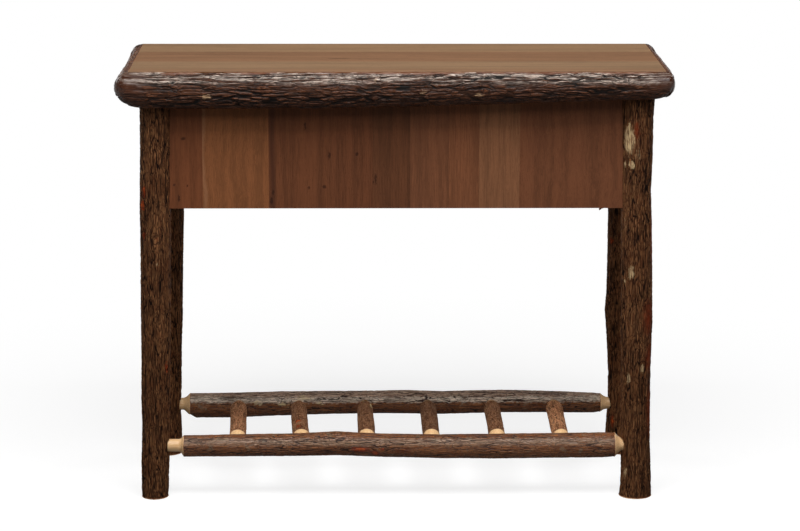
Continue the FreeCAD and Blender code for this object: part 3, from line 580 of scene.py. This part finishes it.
stretcher_pale = {
    "stretcher_front": [],
    "stretcher_back": [
        ((-0.289, 0.136, 0.1125), 0.010, 1.8), ((-0.233, 0.136, 0.110), 0.010, 2.0),
        ((-0.157, 0.136, 0.112), 0.008, 1.8), ((-0.19, 0.136, 0.124), 0.012, 3.0, 0.5),
        ((-0.397, 0.136, 0.102), 0.006, 1.8),
    ],
}
for node, ends in bark_ends.items():
    stretcher = fine_copy(node, f"{node}_bark", STRETCHER_MESH)
    if node == "stretcher_back":
        for point in stretcher.data.vertices:
            drop = min(1.0, max(0.0, (HEEL_START - point.co.x) / HEEL_LENGTH)) * HEEL_DROP
            below = (STRETCHER_AXIS - point.co.z) / (STRETCHER_AXIS - SLANT_FOOT)
            if point.co.x > ends[0]:
                point.co.z -= drop * max(0.0, below)
            if point.co.x < ends[0] + SLANT_LENGTH:
                slant = SLANT_HEIGHT * (ends[0] + SLANT_LENGTH - point.co.x) / SLANT_LENGTH
                point.co.z = max(point.co.z, SLANT_FOOT + min(slant, SLANT_HEIGHT))
    axis = Vector((0.0, math.copysign(LEG_Y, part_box(node)[0].y), STRETCHER_AXIS))
    grain = stretcher_bark["grain"]
    thicken(stretcher, axis, grain, STRETCHER_CORE, STRETCHER_SKIN, STRETCHER_GROWTH)
    bark_relief(
        stretcher, stretcher_bark, ends, knots=stretcher_knots[node], pale=stretcher_pale[node],
        rust=stretcher_rust[node], painted_highlight_heights=stretcher_painted_highlight_band[node],
    )
    bark = dict(stretcher_bark, painted_highlight=stretcher_painted_highlight[node])
    finish = bark_finish(stretcher.name, bark, stretcher_knots[node])
    wear(stretcher, finish)


# Rungs: six short rough-barked pieces of branch, peeled to a domed shoulder and tenoned into
# the two stretchers.
RUNG_MESH = 0.0012
RUNG_BARK = (-0.1052, 0.127)
RUNG_RIDGE = (204, 150, 108)
RUNG_BODY = (158, 103, 69)
rung_bark = {
    "grain": (0, 1, 0), "cell": (0.0042, 0.011, 0.0042), "fine_cell": (0.0019, 0.005, 0.0019),
    "depths": (0.001, 0.0006), "crack": 0.16, "swell": 0.0012, "streak": (0.0012, 0.014),
    "lichen": 0.25, "crack_dark_and_shade": shade(66, 39, 25), "pale": shade(220, 196, 146), "gloss": 0.35,
    "shine": 0.1,
}
rung_knots = {
    "rung_3": [((-0.06, 0.02, 0.121), 0.008, 1.6)],
    "rung_4": [((0.07, 0.06, 0.121), 0.008, 1.6)],
    "rung_5": [((0.204, -0.02, 0.121), 0.009, 1.8)],
    "rung_6": [((0.335, 0.03, 0.121), 0.009, 1.8)],
}
rung_rust = {
    "rung_2": [
        ((-0.2, -0.036, 0.121), 0.011, 1.4), ((-0.199, -0.078, 0.12), 0.010, 1.8, 0.8),
        ((-0.199, 0.118, 0.119), 0.006, 1.0, 0.6),
    ],
    "rung_3": [((-0.058, 0.118, 0.117), 0.007, 1.6), ((-0.05, 0.112, 0.117), 0.007, 1.0)],
    "rung_6": [((0.336, 0.05, 0.121), 0.008, 2.0, 0.4)],
}
rung_pale = {
    "rung_2": [((-0.199, 0.122, 0.117), 0.009, 1.2)],
    "rung_3": [((-0.045, 0.098, 0.119), 0.011, 1.8)],
}
rung_tones = (1.06, 0.92, 0.89, 0.75, 0.9, 1.22)
for number, tone in enumerate(rung_tones, start=1):
    node = f"rung_{number}"
    rung = fine_copy(node, f"{node}_bark", RUNG_MESH)
    bark_relief(
        rung, rung_bark, RUNG_BARK, knots=rung_knots.get(node, ()),
        pale=rung_pale.get(node, ()), rust=rung_rust.get(node, ()),
    )
    bark = dict(rung_bark, ridge=darker(RUNG_RIDGE, tone), body=darker(RUNG_BODY, tone))
    wear(rung, bark_finish(rung.name, bark, rung_knots.get(node, ())))


# Aprons: upright walnut boards of mixed widths, glued edge to edge and let into the legs.
# Each board has its own colour, and those on the left have pin knots.
BOARD_SHIFT = 0.37
BOARD_DRIFT = 0.006
BANDS = (3.0, 70.0)
THREADS = (22.0, 900.0)
PORES = (90.0, 2200.0)
PORE_DEPTH = 0.0002
PORE_SHARE = 0.45
PIN_TEAR = 0.006
PIN_KNOT = shade(42, 24, 17)


def figure(tree, place, grain, pattern, detail):
    """Soft noise drawn out along the grain. The pattern is how many to a metre along it and
    across it."""
    scale = [pattern[0] if side else pattern[1] for side in grain]
    return cloud(tree, vectors(tree, "MULTIPLY", place, scale), 1.0, detail)


def walnut_finish(name, grain, light, dark, number, knots=(), stripe=None, shine=0.07, arch=0.0):
    """Oiled walnut: broad bands, fine streaks and short dark pores along the grain. A stripe
    is where it runs, its half width and its colour."""
    made, tree, shader = new_finish(name, shine)
    place = tree.nodes.new("ShaderNodeTexCoord").outputs["Object"]
    moved = vectors(tree, "ADD", place, [BOARD_SHIFT * number * side for side in grain])
    drift = times(tree, wobble(tree, moved, 9.0, 2.0), BOARD_DRIFT + arch)
    moved = vectors(tree, "ADD", moved, drift)
    bands = figure(tree, moved, grain, BANDS, 3.0)
    threads = figure(tree, moved, grain, THREADS, 3.0)
    pores = figure(tree, moved, grain, PORES, 1.0)
    fine_half = sums(tree, "MULTIPLY", threads, 0.5)
    tone = sums(tree, "ADD", sums(tree, "MULTIPLY", bands, 0.5), fine_half)
    colour = blend(tree, span(tree, tone, 0.36, 0.62), dark, light)
    if stripe:
        line, width, tint = stripe
        away = vectors(tree, "SUBTRACT", moved, (line, 0.0, 0.0))
        away = sums(tree, "ABSOLUTE", vectors(tree, "DOT_PRODUCT", away, (1.0, 0.0, 0.0)))
        colour = blend(tree, span(tree, away, 0.0, width, 0.8, 0.0), colour, tint)
    deep = tuple(PORE_SHARE * channel for channel in dark[:3]) + (1.0,)
    pitted = sums(tree, "MULTIPLY", span(tree, pores, 0.58, 0.72), 0.55)
    colour = blend(tree, pitted, colour, deep)
    if knots:
        torn = times(tree, wobble(tree, place, 260.0, 3.0), PIN_TEAR)
        spot = near(tree, vectors(tree, "ADD", place, torn), knots, grain, 1.2)
        pinned = sums(tree, "MULTIPLY", span(tree, spot, 0.0, 0.7), 0.7)
        colour = blend(tree, pinned, colour, PIN_KNOT)
    tree.links.new(colour, shader.inputs["Base Color"])
    rough = sums(tree, "ADD", sums(tree, "MULTIPLY", threads, 0.16), 0.37)
    tree.links.new(rough, shader.inputs["Roughness"])
    height = sums(tree, "SUBTRACT", fine_half, span(tree, pores, 0.6, 0.72))
    bump = add(tree, "ShaderNodeBump", {"Strength": 0.25, "Distance": PORE_DEPTH, "Height": height})
    tree.links.new(bump.outputs[0], shader.inputs["Normal"])
    return made


APRON_FACE = -0.1677
BOARD_LIGHT = 1.08
BOARD_DARK = 0.87
ARCHED_BOARDS = (2, 9)
BOARD_ARCH = 0.02
front_colours = (
    (112, 66, 42), (128, 80, 50), (105, 63, 41), (102, 61, 40), (96, 59, 39),
    (115, 72, 49), (122, 76, 51), (126, 84, 58), (110, 68, 46),
)
front_knots = {
    1: [((-0.418, APRON_FACE, 0.729), 0.006, 0.7), ((-0.437, APRON_FACE, 0.637), 0.003, 1.2),
        ((-0.411, APRON_FACE, 0.6355), 0.003, 1.0), ((-0.428, APRON_FACE, 0.610), 0.003, 3.2)],
    3: [((-0.180, APRON_FACE, 0.754), 0.0025, 4.0), ((-0.133, APRON_FACE, 0.695), 0.003, 3.0),
        ((-0.173, APRON_FACE, 0.631), 0.003, 1.6), ((-0.1424, APRON_FACE, 0.633), 0.005, 1.0),
        ((-0.2435, APRON_FACE, 0.622), 0.003, 2.0), ((-0.2468, APRON_FACE, 0.605), 0.004, 2.4)],
    4: [((-0.0792, APRON_FACE, 0.698), 0.004, 1.4)],
    5: [((-0.0424, APRON_FACE, 0.648), 0.003, 5.0), ((-0.0485, APRON_FACE, 0.642), 0.003, 1.2)],
}
front_stripes = {
    2: (-0.3775, 0.007, shade(146, 100, 70)), 3: (-0.2445, 0.01, shade(68, 40, 29)),
}


def panel(side, colours, knots, stripes):
    """Finish the boards of one apron, each its own colour."""
    for number, colour in enumerate(colours, start=1):
        light, dark = darker(colour, BOARD_LIGHT), darker(colour, BOARD_DARK)
        finish = walnut_finish(
            f"walnut_{side}_{number}", (0, 0, 1), light, dark, number + len(side),
            knots.get(number, ()), stripes.get(number),
            arch=BOARD_ARCH if number in ARCHED_BOARDS else 0.0,
        )
        wear(frame["nodes"][f"apron_{side}_board_{number}"], finish)


panel("front", front_colours, front_knots, front_stripes)
panel("back", front_colours[:0:-1], {}, {})
panel("left", (front_colours[3], front_colours[8], front_colours[5]), {}, {})
panel("right", (front_colours[6], front_colours[2], front_colours[8]), {}, {})


# Cleats: square strips of plain pale wood behind the aprons, under the top. Flat-head screws
# hold them to the aprons and the boards.
CLEAT_LIGHT = shade(168, 132, 92)
CLEAT_DARK = shade(138, 102, 66)
STEEL_SHINE = 0.5
STEEL = (shade(150, 150, 146), shade(176, 176, 172))
for side in ("front", "back", "left", "right"):
    grain = (1, 0, 0) if side in ("front", "back") else (0, 1, 0)
    strip = walnut_finish(f"cleat_{side}", grain, CLEAT_LIGHT, CLEAT_DARK, len(side))
    wear(frame["nodes"][f"top_cleat_{side}"], strip)


def steel_finish(name):
    """Zinc-plated steel, a little dulled."""
    made, tree, shader = new_finish(name, STEEL_SHINE)
    place = tree.nodes.new("ShaderNodeTexCoord").outputs["Object"]
    dull = cloud(tree, place, 400.0, 3.0)
    colour = blend(tree, span(tree, dull, 0.4, 0.6), *STEEL)
    tree.links.new(colour, shader.inputs["Base Color"])
    shader.inputs["Metallic"].default_value = 1.0
    tree.links.new(span(tree, dull, 0.3, 0.7, 0.3, 0.5), shader.inputs["Roughness"])
    return made


screw_steel = steel_finish("screw_steel")
for node in ("cleat_screws", "top_screws"):
    wear(frame["nodes"][node], screw_steel)


# Top: four walnut boards, tongued and glued, sanded flat and finished in satin lacquer.
# Dowels of pale wood join them to the bark edge.
TOP_SHINE = 0.05
TOP_LIGHT = 1.05
TOP_DARK = 0.9
DOWEL_LIGHT = shade(196, 164, 122)
DOWEL_DARK = shade(170, 134, 94)
top_colours = ((136, 104, 78), (140, 111, 84), (138, 102, 75), (150, 118, 88))
top_streaks = {3: [((-0.115, -0.017, 0.865), 0.0035, 8.0)]}
for number, colour in enumerate(top_colours, start=1):
    finish = walnut_finish(
        f"walnut_top_{number}", (1, 0, 0), darker(colour, TOP_LIGHT), darker(colour, TOP_DARK),
        number, top_streaks.get(number, ()), shine=TOP_SHINE,
    )
    wear(frame["nodes"][f"top_board_{number}"], finish)
dowel_wood = walnut_finish("dowel_wood", (1, 0, 0), DOWEL_LIGHT, DOWEL_DARK, 5)
wear(frame["nodes"]["edge_dowels"], dowel_wood)


# Bark edge: half logs of old hickory with deep ridged bark, mitred at the corners, fixed round
# the boards with their sawn side in, sanded round at the corners and lacquered.
EDGE_MESH = 0.0015
# Heights of the painted highlight band along the upper arc of the bark edge, painted silvery in
# place of the sheen of the lights above.
EDGE_PAINTED_HIGHLIGHT_BAND = ((0.8405, 0.8525),)
EDGE_DEPTHS = (0.0026, 0.0009)
EDGE_ACROSS = 0.008
EDGE_ALONG = 0.07
EDGE_FINE_SHARE = 0.4
EDGE_SWELL = 0.002
EDGE_BARK = (-1.0, 1.0)
CORNER_SPOT = 0.065
CORNER_IN = 0.01
CORNER_DEPTH = 0.012
PROFILE_SLICE = 0.006
PROFILE_STEP = 0.0015
CORNER_MERGE = 0.0003
TAPER_START = 0.03
TAPER_REACH = 0.03
TAPER_LEFT = 0.007
TAPER_RIGHT = 0.012
SQUEEZE = 0.28
SQUEEZE_REACH = 0.09
SQUEEZE_DEPTH = 0.012
SAG_LEFT = 0.006
SAG_RIGHT = 0.002
lowest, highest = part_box("top_board_1")
board_left, board_right, board_front = lowest.x, highest.x, lowest.y
board_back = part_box("top_board_4")[1].y
edge_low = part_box("top_edge_front")[0]
edge_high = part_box("top_edge_back")[1]
corner_spots = []
for x in (edge_low.x, edge_high.x):
    for y in (edge_low.y, edge_high.y):
        inside = (x + math.copysign(CORNER_IN, -x), y + math.copysign(CORNER_IN, -y))
        corner_spots.append(((*inside, highest.z - CORNER_DEPTH), CORNER_SPOT, 1.0))
corners = [(x, y) for x in (board_left, board_right) for y in (board_front, board_back)]
outward = {"front": (0, -1), "back": (0, 1), "left": (-1, 0), "right": (1, 0)}


def round_corner(piece, corner, out):
    """Sand one corner of an edge piece into a ball, keeping the height of its own section."""
    mesh = piece.data
    places = np.empty(3 * len(mesh.vertices))
    mesh.vertices.foreach_get("co", places)
    places = places.reshape(-1, 3)
    off = places[:, :2] - corner
    reach = off @ out
    along = off[:, 0 if out[1] else 1] * math.copysign(1, corner[0 if out[1] else 1])
    beside = (along > -PROFILE_SLICE) & (along < 0)
    if not beside.any():
        return
    heights = np.arange(places[:, 2].min(), places[:, 2].max() + PROFILE_STEP, PROFILE_STEP)
    section = [
        reach[beside & (abs(places[:, 2] - height) < PROFILE_STEP)].max(initial=0.0)
        for height in heights
    ]
    limit = np.interp(places[:, 2], heights, section)
    radius = np.hypot(reach, along)
    share = np.clip((along + TAPER_START) / (TAPER_START + TAPER_REACH), 0, 1)
    taper = TAPER_RIGHT if corner[0] > 0 else TAPER_LEFT
    places[:, 2] += taper * share * share * (highest.z - places[:, 2]) / (highest.z - edge_low.z)
    ball = (along > 0) & (radius > limit) & (radius > 0)
    places[ball, :2] = corner + off[ball] * (limit[ball] / radius[ball])[:, None]
    mesh.vertices.foreach_set("co", places.ravel())
    mesh.update()
    bpy.ops.object.mode_set(mode="EDIT")
    bpy.ops.mesh.select_all(action="SELECT")
    bpy.ops.mesh.remove_doubles(threshold=CORNER_MERGE)
    bpy.ops.object.mode_set(mode="OBJECT")


def fit_front(piece):
    """Draw in the front right corner below its top, where the real logs are slimmer, and let
    the front one hang lower at its left end, where it is thicker."""
    for point in piece.data.vertices:
        beyond = max(0.0, point.co.x - board_right)
        close = min(1.0, max(0.0, 1 - (point.co.y - board_front) / SQUEEZE_REACH))
        deep = min(1.0, max(0.0, (highest.z - point.co.z) / SQUEEZE_DEPTH))
        point.co.x -= SQUEEZE * beyond * close * deep
        across = (point.co.x - board_left) / (board_right - board_left)
        sag = SAG_LEFT + (SAG_RIGHT - SAG_LEFT) * min(1.0, max(0.0, across))
        low = (highest.z - point.co.z) / (highest.z - edge_low.z)
        point.co.z -= sag * close * low * low


# Each side: its grain, the line and direction of the boards, the width of inner bark, the share of
# relief depth, and the colour of the painted highlight on its upper arc.
edge_sides = {
    "front": ((1, 0, 0), (board_front, (0.0, 1.0, 0.0)), 0.005, 1.0, shade(210, 192, 178)),
    "back": ((1, 0, 0), (-board_back, (0.0, -1.0, 0.0)), 0.005, 1.0, shade(210, 192, 178)),
    "left": ((0, 1, 0), (board_left, (1.0, 0.0, 0.0)), 0.028, 0.9, shade(170, 148, 130)),
    "right": ((0, 1, 0), (-board_right, (-1.0, 0.0, 0.0)), 0.016, 0.5, shade(122, 84, 60)),
}
edge_knots = {
    "front": [
        ((-0.056, -0.222, 0.852), 0.02, 1.4), ((0.438, -0.222, 0.855), 0.018, 1.6),
        ((0.155, -0.224, 0.83), 0.016, 1.6),
    ],
    "back": [((0.2, 0.222, 0.845), 0.02, 1.6)],
    "left": [((-0.54, 0.03, 0.845), 0.016, 1.6)],
    "right": [((0.538, 0.05, 0.85), 0.016, 1.6)],
}
edge_pale = {
    "front": [
        ((-0.368, -0.226, 0.819), 0.009, 1.8), ((0.05, -0.226, 0.829), 0.008, 1.8, 0.8),
        ((0.155, -0.226, 0.821), 0.008, 2.0, 0.8), ((-0.044, -0.222, 0.852), 0.006, 1.4, 0.7),
    ],
}
for side, (grain, flat, inner_width, rough, painted_highlight) in edge_sides.items():
    cell = [EDGE_ALONG if along else EDGE_ACROSS for along in grain]
    bark = {
        "grain": grain, "cell": cell, "fine_cell": [EDGE_FINE_SHARE * size for size in cell],
        "depths": [rough * depth for depth in EDGE_DEPTHS], "crack": 0.17,
        "swell": rough * EDGE_SWELL, "streak": (0.0012, 0.016), "lichen": 0.0,
        "ridge": shade(108, 64, 38), "body": shade(70, 37, 21), "crack_dark_and_shade": shade(8, 4, 2),
        "painted_highlight": painted_highlight, "patch": (0.42, 0.56), "pale": shade(166, 136, 104),
        "gloss": 0.06, "shine": 0.17,
    }
    edge = fine_copy(f"top_edge_{side}", f"top_edge_{side}_bark", EDGE_MESH)
    for corner in corners:
        round_corner(edge, corner, outward[side])
    fit_front(edge)
    even_mesh(edge, EDGE_MESH)
    bark_relief(
        edge, bark, EDGE_BARK, knots=edge_knots[side], pale=edge_pale.get(side, ()), flat=flat,
        inner_width=inner_width, sanded=corner_spots, painted_highlight_heights=EDGE_PAINTED_HIGHLIGHT_BAND,
    )
    wear(edge, bark_finish(edge.name, bark, edge_knots[side]))


# Studio: a white floor that keeps the shadow and fades to plain white further out, a thin
# softbox overhead, a high and a low wide one in front, one behind each side, and even light.
FLOOR_SIZE = 60.0
FLOOR_GREY = (0.3, 0.3, 0.3, 1.0)
FLOOR_GLOW = 0.78
FLOOR_UNSEEN = (0.26, 0.26, 0.26, 1.0)
WORLD_LIGHT = 0.07
SHADOW_REACH = (0.75, 1.7)
bpy.ops.mesh.primitive_plane_add(size=FLOOR_SIZE)
floor = bpy.context.active_object
floor.name = "floor"
paint = bpy.data.materials.new("floor_paint")
paint.use_nodes = True
tree = paint.node_tree
tree.nodes.remove(tree.nodes["Principled BSDF"])
seen = tree.nodes.new("ShaderNodeLightPath")
direct = sums(tree, "MAXIMUM", seen.outputs["Is Camera Ray"], seen.outputs["Is Glossy Ray"])
direct = sums(tree, "MAXIMUM", direct, seen.outputs["Is Transmission Ray"])
ground = tree.nodes.new("ShaderNodeTexCoord").outputs["Object"]
far = span(tree, vectors(tree, "LENGTH", ground), *SHADOW_REACH)
catcher = add(tree, "ShaderNodeBsdfDiffuse", {"Color": FLOOR_GREY}).outputs[0]
lit = add(tree, "ShaderNodeEmission", {"Strength": FLOOR_GLOW}).outputs[0]
near_white = add(tree, "ShaderNodeAddShader", {0: catcher, 1: lit}).outputs[0]
pale = add(tree, "ShaderNodeBsdfDiffuse", {"Color": FLOOR_UNSEEN}).outputs[0]
beside = add(
    tree, "ShaderNodeMixShader", {0: seen.outputs["Is Camera Ray"], 1: pale, 2: near_white},
).outputs[0]
white = add(tree, "ShaderNodeEmission", {"Strength": 1.0}).outputs[0]
beyond = add(tree, "ShaderNodeMixShader", {0: direct, 1: pale, 2: white}).outputs[0]
whole = add(tree, "ShaderNodeMixShader", {0: far, 1: beside, 2: beyond}).outputs[0]
tree.links.new(whole, tree.nodes["Material Output"].inputs["Surface"])
floor.data.materials.append(paint)

softboxes = {
    "softbox_overhead": ((0.0, -0.8, 2.5), (2.2, 0.18), 6.0),
    "softbox_high": ((0.0, -1.26, 2.67), (2.4, 0.8), 47.0),
    "softbox_low": ((0.0, -1.95, 2.3), (2.4, 1.0), 23.0),
    "softbox_left": ((-3.0, 2.0, 2.2), (1.4, 1.4), 30.0),
    "softbox_right": ((3.0, 2.0, 2.2), (1.4, 1.4), 30.0),
}
AIM = Vector((0.0, 0.0, 0.5))
for name, (place, size, power) in softboxes.items():
    bpy.ops.object.light_add(type="AREA", location=place)
    lamp = bpy.context.active_object
    lamp.name = name
    lamp.data.shape = "RECTANGLE"
    lamp.data.size, lamp.data.size_y = size
    lamp.data.energy = power
    lamp.rotation_euler = (AIM - Vector(place)).to_track_quat("-Z", "Y").to_euler()

world = bpy.data.worlds.new("studio")
bpy.context.scene.world = world
world.use_nodes = True
sky = world.node_tree.nodes["Background"]
sky.inputs["Color"].default_value = (1.0, 1.0, 1.0, 1.0)
sky.inputs["Strength"].default_value = WORLD_LIGHT

CAMERA_PLACE = (-0.08714, -5.5355, 1.6496)
CAMERA_YAW, CAMERA_PITCH, CAMERA_ROLL = -0.0173, 0.2154, 0.0022
CAMERA_SENSOR = 36.0
CAMERA_LENS = 125.37
turn = Matrix.Rotation(CAMERA_YAW, 4, "Z") @ Matrix.Rotation(math.pi / 2 - CAMERA_PITCH, 4, "X")
bpy.ops.object.camera_add(location=CAMERA_PLACE)
camera = bpy.context.active_object
camera.rotation_euler = (turn @ Matrix.Rotation(CAMERA_ROLL, 4, "Z")).to_euler()
camera.data.sensor_width = CAMERA_SENSOR
camera.data.lens = CAMERA_LENS
bpy.context.scene.camera = camera
bpy.context.scene.view_settings.view_transform = "Standard"
